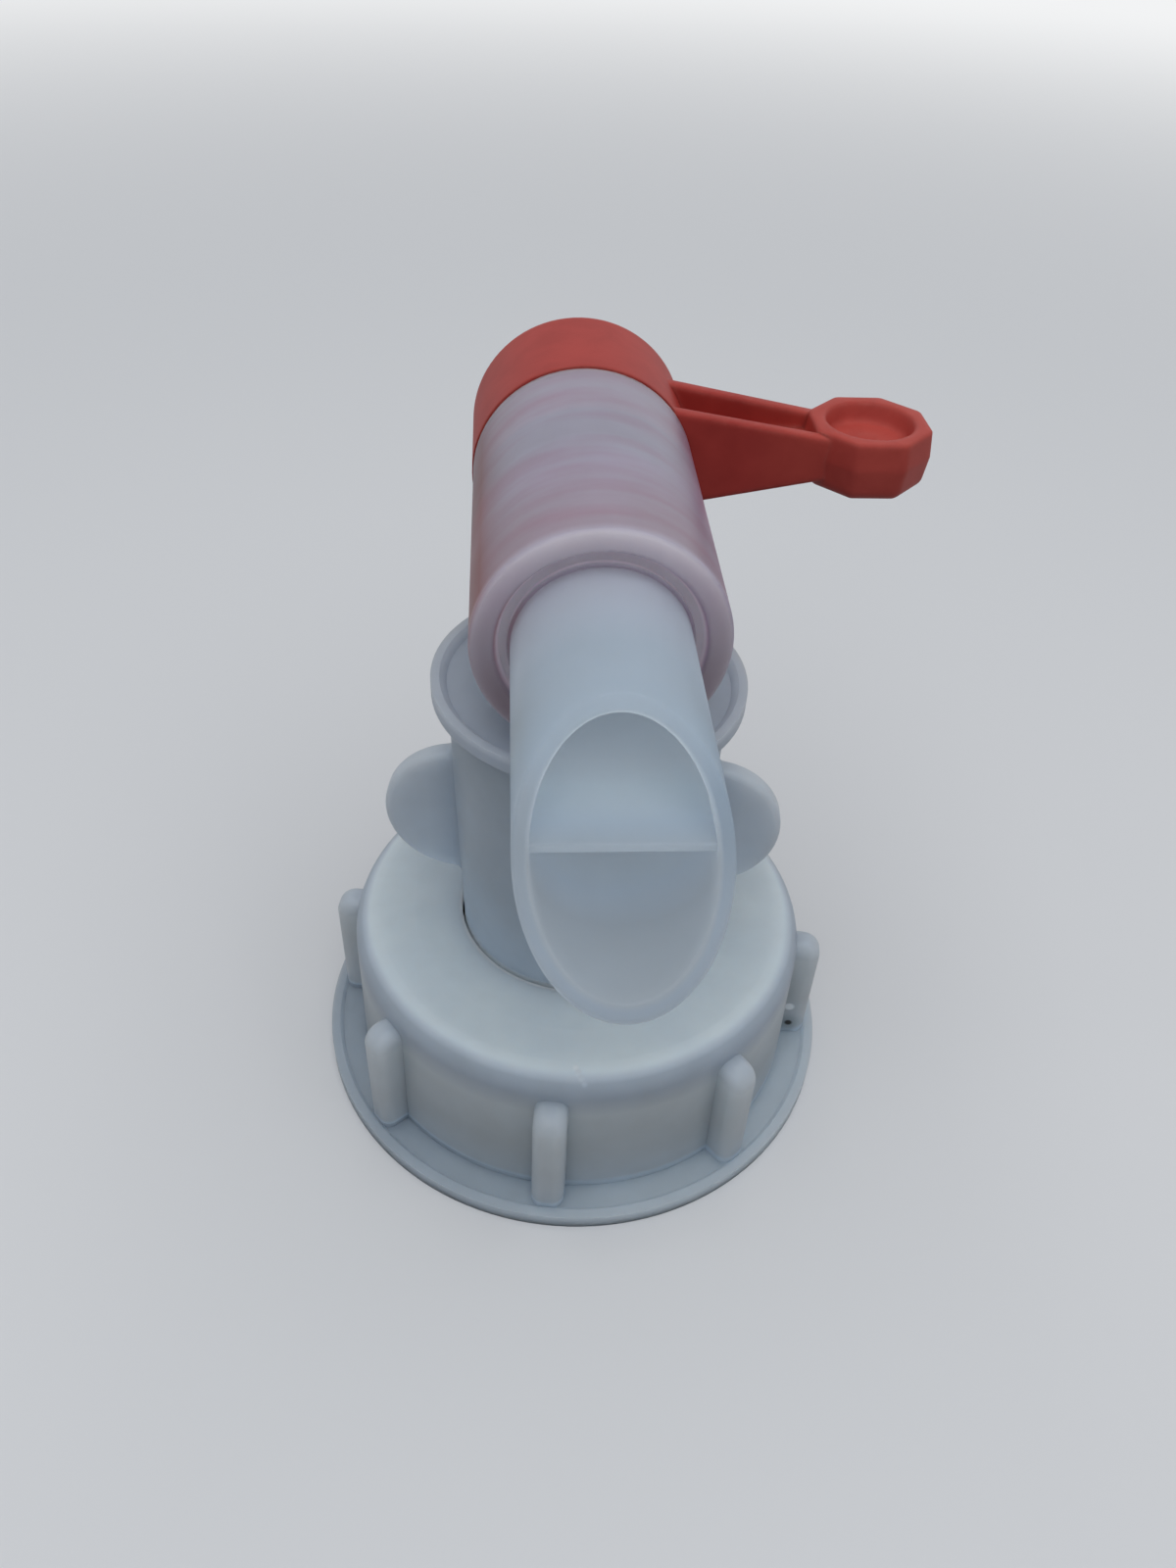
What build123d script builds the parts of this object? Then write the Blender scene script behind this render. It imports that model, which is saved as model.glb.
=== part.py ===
from build123d import *
import os
from math import atan, cos, degrees, radians, sin

# Jerrycan tap: a screw cap for a 61 mm neck, a moulded tap body that swivels in it, and a
# red plug with its lever in the barrel. Millimetres, +Z up. The origin is on the cap's axis
# at its open end, the barrel runs along Y with the spout towards -Y, and the closed lever
# points along +X.

# Screw cap
thread_dia = 61.6          # inside of the skirt, over the roots of the neck's thread
thread_height = 14.0       # from the open end to the end of the thread
cap_wall = 2.5
cap_height = 25.5
cap_top_wall = 2.5
cap_shoulder = 3.6         # outer radius between skirt and top
cap_draft = 0.25           # radius that the skirt loses on its way up
cap_dish = 0.5             # how far the top falls towards the stem
dish_width = 7.0           # width of the ring that falls
land_step = 0.8            # the bore is this much smaller in radius above the thread
flange_dia = 77.2
flange_thickness = 1.8
flange_lip_width = 1.3
flange_lip_height = 0.5
rib_count = 8
rib_width = 4.5
rib_reach = 3.7            # how far a grip rib stands out of the skirt
rib_height = 21.5          # top of a rib above the open end
rib_round = 2.8            # radius over a rib's top
rib_edge = 1.7             # radius along a rib's two outer edges
rib_angle = -98.5          # where the first rib stands, from +X towards +Y

# Sealing washer
washer_thickness = 2.4
washer_play = 0.3          # radial play inside the cap

# Stem of the tap body
stem_dia_foot = 34.0
stem_dia_head = 36.0
stem_wall = 2.0
swivel_gap = 0.3           # between the turning stem and the cap or washer
tail_length = 8.0          # below the cap's ceiling
bead_reach = 1.7           # how far the snap bead stands out of the stem
bead_height = 2.0
disc_dia = 40.1
disc_height = 65.9         # floor of the disc above the cap's open end
disc_thickness = 2.4
disc_rim_height = 0.9
disc_rim_width = 1.1
ear_dia = 21.3
ear_reach = 27.6           # from the stem's axis to an ear's tip
ear_thickness = 3.1
ear_edge = 0.9             # radius round an ear's two edges
ear_root = 1.2             # radius where an ear grows out of the stem
ear_drop = 2.1             # the ears' middle below the middle of the stem's free length
ear_turn = -6.1            # degrees from square with the barrel, the +X ear towards the spout

# Barrel and spout of the tap body
barrel_dia_front = 29.3
barrel_draft = 0.25        # radius that the barrel gains on its way back
barrel_wall = 1.95         # at the lip
barrel_front = 14.6        # from the stem's axis forward to the lip
barrel_back = 26.7         # from the stem's axis back to the open end
barrel_sink = 0.2          # how far the barrel's underside runs into the disc
front_wall = 2.1
lip_flank = 0.7            # radius that the groove loses on its way down from the lip
groove_width = 0.9         # of the groove's floor
lip_depth = 1.2            # depth of the groove between lip and spout
lip_edge = 0.5
spout_ledge = 2.6          # how much smaller in radius the spout is than the bore
spout_wall = 1.6
spout_step_reach = 0.35    # how far the step at the spout's root stands out of the spout
spout_step_length = 0.9    # how far it stands out of the groove's floor
spout_length = 47.4        # from the stem's axis forward to the middle of the mouth
mouth_angle = 48.0         # of the mouth's plane from upright
mouth_edge = 0.4
divider = 1.6              # thickness of the walls in stem and plug that part air and liquid
spout_divider = 1.0        # thickness of the level wall in the spout
divider_length = 46.1      # from the stem's axis forward to that wall's free end
divider_nose = 0.3         # radius along its free end
port_width = 14.0
port_front_length = 6.8    # opening for the liquid
port_back_length = 7.2     # opening for the air
port_middle = 3.2          # from the stem's axis back to the wall between the openings
port_wall = 2.0            # wall of the saddle round the two openings

# Plug
plug_play = 0.06           # radial running clearance in the barrel
plug_end_gap = 0.3
plug_wall = 2.2
bulkhead = 2.0             # wall behind the air chamber
core_web = 1.6             # rib across the hollow at the back
core_web_set_back = 2.0
snap_reach = 0.36          # how far the snap ring stands out of the bore
snap_width = 2.2
snap_set_back = 4.6        # from the barrel's open end to the snap ring
stop_width = 24.0          # degrees that the stop lug covers
stop_depth = 2.2
stop_reach = 0.9
stop_margin = 1.0          # degrees left at each end of the quarter turn
handle_turn = 90.0

# Ring seals on the plug
seal_width = 1.9
seal_depth = 1.15
seal_play = 0.03           # between a seal and what it touches

# Collar, lever and knob
collar_step = 0.15         # how far the collar stands out of the barrel's end
collar_draft = 0.15        # radius that the collar gains on its way back
collar_length = 17.8
collar_wall = 2.2
collar_edge = 0.8
lever_offset = 2.3         # the lever's middle above the barrel's axis
lever_height_root = 12.6
lever_height_neck = 6.2
lever_width_root = 11.2
lever_width_neck = 10.2
lever_rim = 2.0
lever_web = 2.0
lever_edge = 0.4           # radius along the edges of the lever's rims
neck_reach = 33.0          # from the barrel's axis to the lever's neck
knob_reach = 40.1          # from the barrel's axis to the knob's middle
knob_sides = 8
knob_width = 18.3          # over the corners at the waist
knob_top_width = 17.4      # over the corners at the top
knob_foot_width = 17.2     # over the corners at the bottom
knob_top_height = 3.7      # from the waist up
knob_foot_height = 4.7     # from the waist down
knob_corner = 1.6          # radius along its upright corners
knob_top_edge = 0.4
knob_foot_edge = 1.8
recess_dia = 12.6
recess_depth = 2.6
recess_draft = 1.0         # radius that the recess loses on its way down
recess_round = 0.7         # radius round the recess's floor
recess_edge = 0.3          # radius round its mouth
dimple_dia = 3.0
dimple_depth = 0.5

# Places worked out from the sizes above
thread_radius = thread_dia / 2
land_radius = thread_radius - land_step
skirt_radius = thread_radius + cap_wall
flange_radius = flange_dia / 2
ceiling = cap_height - cap_top_wall
washer_bottom = ceiling - washer_thickness
bead_top = washer_bottom - swivel_gap
tail_end = ceiling - tail_length
hole_radius = stem_dia_foot / 2 + swivel_gap
disc_top = disc_height + disc_rim_height
barrel_radius = barrel_dia_front / 2
barrel_back_radius = barrel_radius + barrel_draft
barrel_axis = disc_height + barrel_radius - barrel_sink
bore_radius = barrel_radius - barrel_wall
spout_radius = bore_radius - spout_ledge
channel_radius = spout_radius - spout_wall
step_radius = spout_radius + spout_step_reach
past_mouth = -spout_length - 2 * spout_radius
front_wall_y = lip_depth - barrel_front
bore_front = front_wall_y + front_wall
port_front = port_middle - divider / 2 - port_front_length
port_back = port_middle + divider / 2 + port_back_length
plug_radius = bore_radius - plug_play
plug_inner = plug_radius - plug_wall
plug_front = bore_front + plug_end_gap
chamber_back = port_back + divider
core_front = chamber_back + bulkhead
collar_front = barrel_back + plug_end_gap
collar_back = collar_front + collar_length
collar_radius = barrel_back_radius + collar_step
collar_back_radius = collar_radius + collar_draft
lever_middle = collar_front + lever_width_root / 2
seal_front_y = (plug_front + port_front) / 2
seal_back_y = (core_front + barrel_back - snap_set_back) / 2
stop_angle = -90 - handle_turn / 2


def revolved(points, turn=360.0):
    """A solid of revolution about Z from an outline of radius and height."""
    outline = make_face(Polyline(*[(r, 0, z) for r, z in points], close=True))
    return revolve(outline, Axis.Z, turn)


def along_barrel(shape):
    """Lays a shape that was made along Z onto the barrel's axis, with its +Z towards +Y."""
    return Pos(0, 0, barrel_axis) * Rot(-90, 0, 0) * shape


def rod_along_barrel(radius, low, high):
    """A round rod on the barrel's axis, between two places along Y."""
    return along_barrel(Pos(0, 0, (low + high) / 2) * Cylinder(radius, high - low))


def box_between(low, high):
    """A box from its lowest to its highest corner."""
    size = [b - a for a, b in zip(low, high)]
    middle = [(a + b) / 2 for a, b in zip(low, high)]
    return Pos(*middle) * Box(*size)


def cap_profile():
    """Half section of the screw cap: flange, skirt, rounded shoulder, top and bore."""
    top_radius = skirt_radius - cap_draft
    corner = (top_radius - cap_shoulder, cap_height - cap_shoulder)
    middle = (corner[0] + cap_shoulder * sin(radians(45)), corner[1] + cap_shoulder * cos(radians(45)))
    lip_inner = flange_radius - flange_lip_width
    low = Polyline(
        (hole_radius, 0, ceiling),
        (land_radius, 0, ceiling),
        (land_radius, 0, thread_height + land_step),
        (thread_radius, 0, thread_height),
        (thread_radius, 0, 0),
        (flange_radius, 0, 0),
        (flange_radius, 0, flange_thickness + flange_lip_height),
        (lip_inner, 0, flange_thickness + flange_lip_height),
        (lip_inner - flange_lip_height, 0, flange_thickness),
        (skirt_radius, 0, flange_thickness),
        (top_radius, 0, cap_height - cap_shoulder),
    )
    shoulder = ThreePointArc(
        (top_radius, 0, cap_height - cap_shoulder),
        (middle[0], 0, middle[1]),
        (corner[0], 0, cap_height),
    )
    top = Polyline(
        (corner[0], 0, cap_height),
        (hole_radius + dish_width, 0, cap_height),
        (hole_radius, 0, cap_height - cap_dish),
        (hole_radius, 0, ceiling),
    )
    return make_face(low + shoulder + top)


def grip_rib():
    """One upright rib on the +X side of the skirt, rounded over its top and outer edges."""
    outer = skirt_radius + rib_reach
    inner = skirt_radius - cap_wall / 2
    turn = rib_height - rib_round
    bend = rib_round * sin(radians(45))
    side = Polyline(
        (outer - rib_round, 0, rib_height),
        (inner, 0, rib_height),
        (inner, 0, flange_thickness / 2),
        (outer, 0, flange_thickness / 2),
        (outer, 0, turn),
    )
    over = ThreePointArc(
        (outer, 0, turn),
        (outer - rib_round + bend, 0, turn + bend),
        (outer - rib_round, 0, rib_height),
    )
    rib = extrude(make_face(side + over), rib_width / 2, both=True)
    edges = rib.edges().filter_by(lambda e: abs(abs(e.center().Y) - rib_width / 2) < 0.01)
    edges = edges.filter_by(lambda e: e.center().X > inner + 0.01 and e.center().Z > flange_thickness)
    return fillet(edges, rib_edge)


def make_screw_cap():
    cap = revolve(cap_profile(), Axis.Z)
    rib = grip_rib()
    for k in range(rib_count):
        cap += Rot(0, 0, rib_angle + 360 * k / rib_count) * rib
    return cap


def make_sealing_washer():
    return revolved([
        (hole_radius, washer_bottom),
        (land_radius - washer_play, washer_bottom),
        (land_radius - washer_play, ceiling),
        (hole_radius, ceiling),
    ])


def stem_outline(inset, low, high):
    """The stem's outer outline, or the same taken in by a wall, between two heights."""
    foot = stem_dia_foot / 2 - inset
    head = stem_dia_head / 2 - inset
    return [(0, low), (foot, low), (foot, cap_height), (head, high), (0, high)]


def make_stem():
    """The tapered stem with its snap bead at the tail and the dished disc at its head."""
    foot = stem_dia_foot / 2
    underside = disc_height - disc_thickness
    stem = revolved(stem_outline(0, tail_end, underside))
    bead = revolved([
        (foot - stem_wall / 2, bead_top - bead_height),
        (foot, bead_top - bead_height),
        (foot + bead_reach, bead_top - bead_height / 2),
        (foot + bead_reach, bead_top),
        (foot - stem_wall / 2, bead_top),
    ])
    disc = revolved([
        (0, underside),
        (stem_dia_head / 2, underside),
        (disc_dia / 2, disc_height - disc_thickness / 2),
        (disc_dia / 2, disc_top),
        (disc_dia / 2 - disc_rim_width, disc_top),
        (disc_dia / 2 - disc_rim_width - disc_rim_height, disc_height),
        (0, disc_height),
    ])
    return stem + bead + disc


def with_ears(stem):
    """Adds the two round plates that the fingers hold while the cap is screwed on."""
    height = (cap_height + disc_height - disc_thickness) / 2 - ear_drop
    plate = Rot(90, 0, 0) * Cylinder(ear_dia / 2, ear_thickness)
    plate = fillet(plate.edges().filter_by(GeomType.CIRCLE), ear_edge)
    place = ear_reach - ear_dia / 2
    stem += [Pos(side * place, 0, height) * plate for side in (-1, 1)]
    flat_sides = stem.edges().filter_by(lambda e: abs(abs((e @ 0.5).Y) - ear_thickness / 2) < 0.01)
    halfway = (stem_dia_foot / 2 + ear_reach) / 2
    roots = flat_sides.filter_by(lambda e: abs((e @ 0.5).X) < halfway)
    return Rot(0, 0, ear_turn) * fillet(roots, ear_root)


def mouth_cutter():
    """Everything in front of the slanted mouth of the spout."""
    size = 8 * spout_radius
    block = Pos(0, -size / 2, 0) * Box(size, size, size)
    return Pos(0, -spout_length, barrel_axis) * Rot(-mouth_angle, 0, 0) * block


def port(low, high):
    """An opening from the stem up into the barrel's bore, between two places along Y."""
    return box_between(
        (-port_width / 2, low, disc_height - 2 * disc_thickness),
        (port_width / 2, high, barrel_axis - bore_radius / 2),
    )


def stop_notch(first, last, low, high, inner, outer):
    """A piece of a ring round the barrel's axis, from one angle to another, from +X to +Z."""
    ring = revolved([(inner, low), (outer, low), (outer, high), (inner, high)], last - first)
    return along_barrel(Rot(0, 0, -last) * ring)


def make_barrel():
    """The barrel before it is bored, with the groove in its front that leaves a rounded lip."""
    barrel = along_barrel(revolved([
        (0, front_wall_y - spout_step_length),
        (step_radius, front_wall_y - spout_step_length),
        (step_radius, front_wall_y),
        (step_radius + groove_width, front_wall_y),
        (step_radius + groove_width + lip_flank, -barrel_front),
        (barrel_radius, -barrel_front),
        (barrel_back_radius, barrel_back),
        (0, barrel_back),
    ]))
    lip = barrel.edges().filter_by(lambda e: abs(e.center().Y + barrel_front) < 0.01)
    return fillet(lip, lip_edge)


def make_spout(inside):
    """The spout with its slanted mouth and the level wall that parts liquid from air."""
    tube = rod_along_barrel(spout_radius, past_mouth, bore_front)
    wall = box_between(
        (-spout_radius, -divider_length, barrel_axis - spout_divider / 2),
        (spout_radius, bore_front, barrel_axis + spout_divider / 2),
    )
    nose = wall.edges().filter_by(Axis.X).group_by(Axis.Y)[0]
    wall = fillet(nose, divider_nose)
    wall &= rod_along_barrel(channel_radius + spout_wall / 2, past_mouth, bore_front)
    spout = tube - inside - mouth_cutter()
    mouth = spout.edges().filter_by(GeomType.ELLIPSE)
    return fillet(mouth, mouth_edge) + wall


def make_tap_body():
    saddle = box_between(
        (-port_width / 2 - port_wall, port_front - port_wall, disc_height - disc_thickness),
        (port_width / 2 + port_wall, port_back + port_wall, barrel_axis),
    )
    saddle = fillet(saddle.edges().filter_by(Axis.Z), port_wall)
    body = with_ears(make_stem()) + saddle + make_barrel()

    # The spout stands in the groove, and its channel runs on through the front wall
    inside = rod_along_barrel(channel_radius, past_mouth, bore_front)
    body = body - inside + make_spout(inside)

    # The bore for the plug, its snap groove and the notch for the stop lug
    snap_y = barrel_back - snap_set_back
    body -= along_barrel(revolved([
        (0, bore_front),
        (bore_radius, bore_front),
        (bore_radius, snap_y - snap_width / 2 - plug_play),
        (bore_radius + snap_reach, snap_y - snap_width / 2 - plug_play + snap_reach),
        (bore_radius + snap_reach, snap_y + snap_width / 2 + plug_play - snap_reach),
        (bore_radius, snap_y + snap_width / 2 + plug_play),
        (bore_radius, barrel_back),
        (0, barrel_back),
    ]))
    body -= stop_notch(
        stop_angle - stop_width / 2 - stop_margin,
        stop_angle + handle_turn + stop_width / 2 + stop_margin,
        barrel_back - stop_depth - plug_end_gap,
        barrel_back,
        bore_radius / 2,
        bore_radius + stop_reach + plug_end_gap,
    )

    # The stem's bore, its dividing wall and the two openings into the barrel
    underside = disc_height - disc_thickness
    stem_bore = revolved(stem_outline(stem_wall, tail_end, underside))
    parting = box_between(
        (-stem_dia_head / 2, port_middle - divider / 2, tail_end),
        (stem_dia_head / 2, port_middle + divider / 2, underside),
    )
    body -= stem_bore - parting
    body -= port(port_front, port_middle - divider / 2)
    body -= port(port_middle + divider / 2, port_back)
    return body


def plug_barrel():
    """The hollow plug in the barrel, closed: its windows face -X, away from the openings."""
    snap_y = barrel_back - snap_set_back
    outline = [(0, plug_front), (plug_radius, plug_front)]
    for middle in (seal_front_y, seal_back_y):
        low, high = middle - seal_width / 2, middle + seal_width / 2
        bottom = plug_radius - seal_depth
        outline += [(plug_radius, low), (bottom, low), (bottom, high), (plug_radius, high)]
    crown = plug_radius + snap_reach
    outline += [
        (plug_radius, snap_y - snap_width / 2),
        (crown, snap_y - snap_width / 2 + snap_reach),
        (crown, snap_y + snap_width / 2 - snap_reach),
        (plug_radius, snap_y + snap_width / 2),
        (plug_radius, collar_front + collar_wall / 2),
        (0, collar_front + collar_wall / 2),
    ]
    return along_barrel(revolved(outline))


def plug_chambers():
    """The space inside the plug: liquid runs from the front window, air past the web."""
    round_space = rod_along_barrel(plug_inner, plug_front, chamber_back)
    web = box_between(
        (-divider / 2, plug_front, barrel_axis - bore_radius),
        (divider / 2, port_middle + divider / 2, barrel_axis + bore_radius),
    )
    step = box_between(
        (-bore_radius, port_middle - divider / 2, barrel_axis - bore_radius),
        (0, port_middle + divider / 2, barrel_axis + bore_radius),
    )
    space = round_space - web - step
    for low, high in ((port_front, port_middle - divider / 2), (port_middle + divider / 2, port_back)):
        space += box_between(
            (-bore_radius, low, barrel_axis - port_width / 2),
            (-divider, high, barrel_axis + port_width / 2),
        )
    return space


def tapered_bar(width_less, low, high):
    """A bar along the lever that narrows like it, between two shares of its half height."""
    root = collar_back_radius
    slope_z = (lever_height_root - lever_height_neck) / 2 / (neck_reach - root)
    slope_y = (lever_width_root - lever_width_neck) / 2 / (neck_reach - root)

    def half_height(x):
        return lever_height_root / 2 - slope_z * (x - root)

    def half_width(x):
        return lever_width_root / 2 - width_less - slope_y * (x - root)

    start, end = root / 2, knob_reach
    middle_z = barrel_axis + lever_offset
    side = make_face(Polyline(
        (start, 0, middle_z + low(half_height(start))),
        (end, 0, middle_z + low(half_height(end))),
        (end, 0, middle_z + high(half_height(end))),
        (start, 0, middle_z + high(half_height(start))),
        close=True,
    ))
    plan = make_face(Polyline(
        (start, lever_middle - half_width(start), middle_z),
        (end, lever_middle - half_width(end), middle_z),
        (end, lever_middle + half_width(end), middle_z),
        (start, lever_middle + half_width(start), middle_z),
        close=True,
    ))
    upright = Pos(0, lever_middle, 0) * extrude(side, lever_width_root, both=True)
    return upright & extrude(plan, 2 * lever_height_root, both=True)


def make_knob():
    """The many-sided knob, widest at its waist, with a round dished recess on each side."""
    def half(end_width, height, end_edge):
        flat = cos(radians(180 / knob_sides))
        taper = degrees(atan((knob_width - end_width) / 2 * flat / height))
        waist = RegularPolygon(knob_width / 2, knob_sides, rotation=180 / knob_sides)
        drum = extrude(waist, height, taper=taper)
        drum = fillet(drum.edges().filter_by(lambda e: abs(e.tangent_at(0.5).Z) > 0.5), knob_corner)
        drum = fillet(drum.edges().group_by(Axis.Z)[-1], end_edge)
        recess = Pos(0, 0, height - recess_depth / 2) * Cone(
            recess_dia / 2 - recess_draft, recess_dia / 2, recess_depth
        )
        recess = fillet(recess.edges().filter_by(GeomType.CIRCLE).sort_by(Axis.Z)[0], recess_round)
        dimple = Pos(0, 0, height - recess_depth - dimple_depth / 2) * Cone(
            dimple_dia / 4, dimple_dia / 2, dimple_depth
        )
        drum = drum - recess - dimple
        mouth = drum.edges().filter_by(GeomType.CIRCLE).sort_by(SortBy.RADIUS)[-1]
        return fillet(mouth, recess_edge)

    upper = half(knob_top_width, knob_top_height, knob_top_edge)
    lower = half(knob_foot_width, knob_foot_height, knob_foot_edge)
    knob = upper + mirror(lower, Plane.XY)
    return Pos(knob_reach, lever_middle, barrel_axis + lever_offset) * knob


def make_lever():
    """The lever's H section: two rims joined by a web, which run into the collar."""
    lever = tapered_bar(0, lambda h: -h, lambda h: h)
    upper = tapered_bar(lever_rim, lambda h: lever_web / 2, lambda h: 2 * h)
    lower = tapered_bar(lever_rim, lambda h: -2 * h, lambda h: -lever_web / 2)
    lever = lever - upper - lower
    along = lever.edges().filter_by(lambda e: abs(e.tangent_at(0.5).X) > 0.9)
    rims = along.filter_by(lambda e: abs(e.center().Z - barrel_axis - lever_offset) > lever_web)
    return fillet(rims, lever_edge)


def make_plug_handle():
    """The red moulding: plug, collar, lever and knob in one piece."""
    collar = along_barrel(revolved([
        (0, collar_front),
        (collar_radius, collar_front),
        (collar_back_radius, collar_back),
        (0, collar_back),
    ]))
    back_edge = collar.edges().filter_by(lambda e: abs(e.center().Y - collar_back) < 0.01)
    collar = fillet(back_edge, collar_edge)
    handle = collar + (make_lever() - knob_envelope()) + make_knob() + plug_barrel()

    # The hollow at the back, in two steps, with one rib across it
    hollow = rod_along_barrel(collar_radius - collar_wall, collar_front + collar_wall, collar_back)
    hollow += rod_along_barrel(plug_inner, core_front, collar_back)
    rib = box_between(
        (-collar_radius, core_front, barrel_axis - core_web / 2),
        (collar_radius, collar_back - core_web_set_back, barrel_axis + core_web / 2),
    )
    handle -= hollow - rib
    handle -= plug_chambers()
    handle += stop_notch(
        stop_angle - stop_width / 2,
        stop_angle + stop_width / 2,
        barrel_back - stop_depth,
        collar_front + collar_wall / 2,
        plug_radius - plug_wall / 2,
        bore_radius + stop_reach,
    )
    return handle


def knob_envelope():
    """A drum inside the knob, past its recesses, which the lever runs up to."""
    radius = (knob_foot_width / 2 - knob_foot_edge) * cos(radians(180 / knob_sides))
    drum = Cylinder(radius, 2 * knob_foot_height)
    return Pos(knob_reach, lever_middle, barrel_axis + lever_offset) * drum


def make_seal(middle):
    """A ring seal in its groove, pressed flat where it meets the groove and the bore."""
    inner = plug_radius - seal_depth + seal_play
    outer = bore_radius - seal_play
    low = middle - seal_width / 2 + seal_play
    high = middle + seal_width / 2 - seal_play
    ring = along_barrel(revolved([(inner, low), (outer, low), (outer, high), (inner, high)]))
    return fillet(ring.edges().filter_by(GeomType.CIRCLE), seal_depth / 3)


parts = {
    "screw_cap": make_screw_cap(),
    "sealing_washer": make_sealing_washer(),
    "tap_body": make_tap_body(),
    "plug_handle": make_plug_handle(),
    "plug_seal_front": make_seal(seal_front_y),
    "plug_seal_back": make_seal(seal_back_y),
}

os.makedirs("parts", exist_ok=True)
for name, shape in parts.items():
    export_step(shape, f"parts/{name}.step")
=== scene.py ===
import math

import bpy
from mathutils import Matrix, Vector


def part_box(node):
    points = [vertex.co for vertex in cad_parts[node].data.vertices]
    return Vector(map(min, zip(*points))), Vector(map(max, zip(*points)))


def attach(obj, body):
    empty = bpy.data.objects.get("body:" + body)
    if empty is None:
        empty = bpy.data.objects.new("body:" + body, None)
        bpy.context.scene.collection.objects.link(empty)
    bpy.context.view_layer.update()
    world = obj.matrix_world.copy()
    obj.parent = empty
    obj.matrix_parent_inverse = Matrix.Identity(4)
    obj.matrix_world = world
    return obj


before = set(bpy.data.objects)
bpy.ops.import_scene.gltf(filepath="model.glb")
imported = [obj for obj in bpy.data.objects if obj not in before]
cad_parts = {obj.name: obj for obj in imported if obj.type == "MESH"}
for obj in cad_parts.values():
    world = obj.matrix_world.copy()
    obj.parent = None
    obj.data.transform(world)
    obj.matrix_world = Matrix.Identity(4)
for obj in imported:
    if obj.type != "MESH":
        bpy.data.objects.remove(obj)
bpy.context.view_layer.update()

scene = bpy.context.scene
scene.view_settings.view_transform = "Standard"


# Camera
# It looks down on the tap from the side of the spout, from close by and with a wide lens, so
# that the mouth of the spout is large and the red end is small.
eye = Vector((-0.01007, -0.12143, 0.15362))
looks_down = math.radians(40.9)
looks_right = math.radians(4.99)
rolls_right = math.radians(2.96)
ahead = Vector((
    math.sin(looks_right) * math.cos(looks_down),
    math.cos(looks_right) * math.cos(looks_down),
    -math.sin(looks_down),
))
level = Vector((math.cos(looks_right), -math.sin(looks_right), 0))
upright = level.cross(ahead)
side = level * math.cos(rolls_right) + upright * math.sin(rolls_right)
top = upright * math.cos(rolls_right) - level * math.sin(rolls_right)
camera = bpy.data.objects.new("camera", bpy.data.cameras.new("camera"))
camera.matrix_world = Matrix.Translation(eye) @ Matrix((side, top, -ahead)).transposed().to_4x4()
camera.data.sensor_fit = "HORIZONTAL"
camera.data.sensor_width = 36
camera.data.lens = 36
camera.data.clip_start = 0.005
scene.collection.objects.link(camera)
scene.camera = camera


# Floor and light
# A pale matt table in a pale room, under one large soft lamp above the tap. What faces up renders
# about as its colour is written, and what faces the camera is darker, as in the photograph. The
# table is pale to the eye only, so that it throws little light back up at the tap.
def linear(hex_colour):
    """A Blender colour from an sRGB hex value."""
    channels = [int(hex_colour[i:i + 2], 16) / 255 for i in (1, 3, 5)]
    return [c / 12.92 if c <= 0.04045 else ((c + 0.055) / 1.055) ** 2.4 for c in channels] + [1.0]


def add_node(tree, kind, sockets=None, stops=None, **settings):
    """Adds a node with its settings. A socket gets a constant, or a link where its value is
    another node's output. Stops are a colour ramp's places and colours."""
    node = tree.nodes.new(kind)
    for name, value in settings.items():
        setattr(node, name, value)
    for name, value in (sockets or {}).items():
        if isinstance(value, bpy.types.NodeSocket):
            tree.links.new(value, node.inputs[name])
        else:
            node.inputs[name].default_value = value
    for index, (place, colour) in enumerate(stops or []):
        stop = node.color_ramp.elements[index] if index < 2 else node.color_ramp.elements.new(1.0)
        stop.position = place
        stop.color = colour
    return node


def new_material(name):
    """An empty material with an output node; gives the material, its tree and the output."""
    material = bpy.data.materials.new(name)
    material.use_nodes = True
    material.node_tree.nodes.clear()
    output = add_node(material.node_tree, "ShaderNodeOutputMaterial")
    return material, material.node_tree, output


# The sockets of a Mix node that mixes colours
factor, first, second, mixed = 0, 6, 7, 2

table_radius = 3.0
table_sides = 128
table_roughness = 0.75
table_seen = linear("#e4e5e6")
table_bounce = linear("#77787a")
fade_start = 0.25
fade_end = 1.3
room_seen = linear("#f2f3f4")
room_light = linear("#e4efff")
room_strength = 0.25
lamp_colour = linear("#fdfcfb")[:3]
lamp_place = Vector((0.02, -0.15, 0.90))
lamp_aim = Vector((0, 0, 0.05))
lamp_size = 1.5
lamp_power = 8.4


def shows_itself(tree):
    """1 where the eye sees a thing, also in gloss or through glass, and 0 where it only lights."""
    rays = add_node(tree, "ShaderNodeLightPath").outputs
    seen = add_node(tree, "ShaderNodeMath", {0: rays["Is Camera Ray"], 1: rays["Is Glossy Ray"]},
                    operation="MAXIMUM")
    seen = add_node(tree, "ShaderNodeMath", {0: seen.outputs[0], 1: rays["Is Transmission Ray"]},
                    operation="MAXIMUM")
    return seen.outputs[0]


table_paint, tree, output = new_material("matt_painted_table")
colour = add_node(tree, "ShaderNodeMix", {
    factor: shows_itself(tree), first: table_bounce, second: table_seen,
}, data_type="RGBA")
paint = add_node(tree, "ShaderNodeBsdfPrincipled", {
    "Base Color": colour.outputs[mixed], "Roughness": table_roughness,
})
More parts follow.
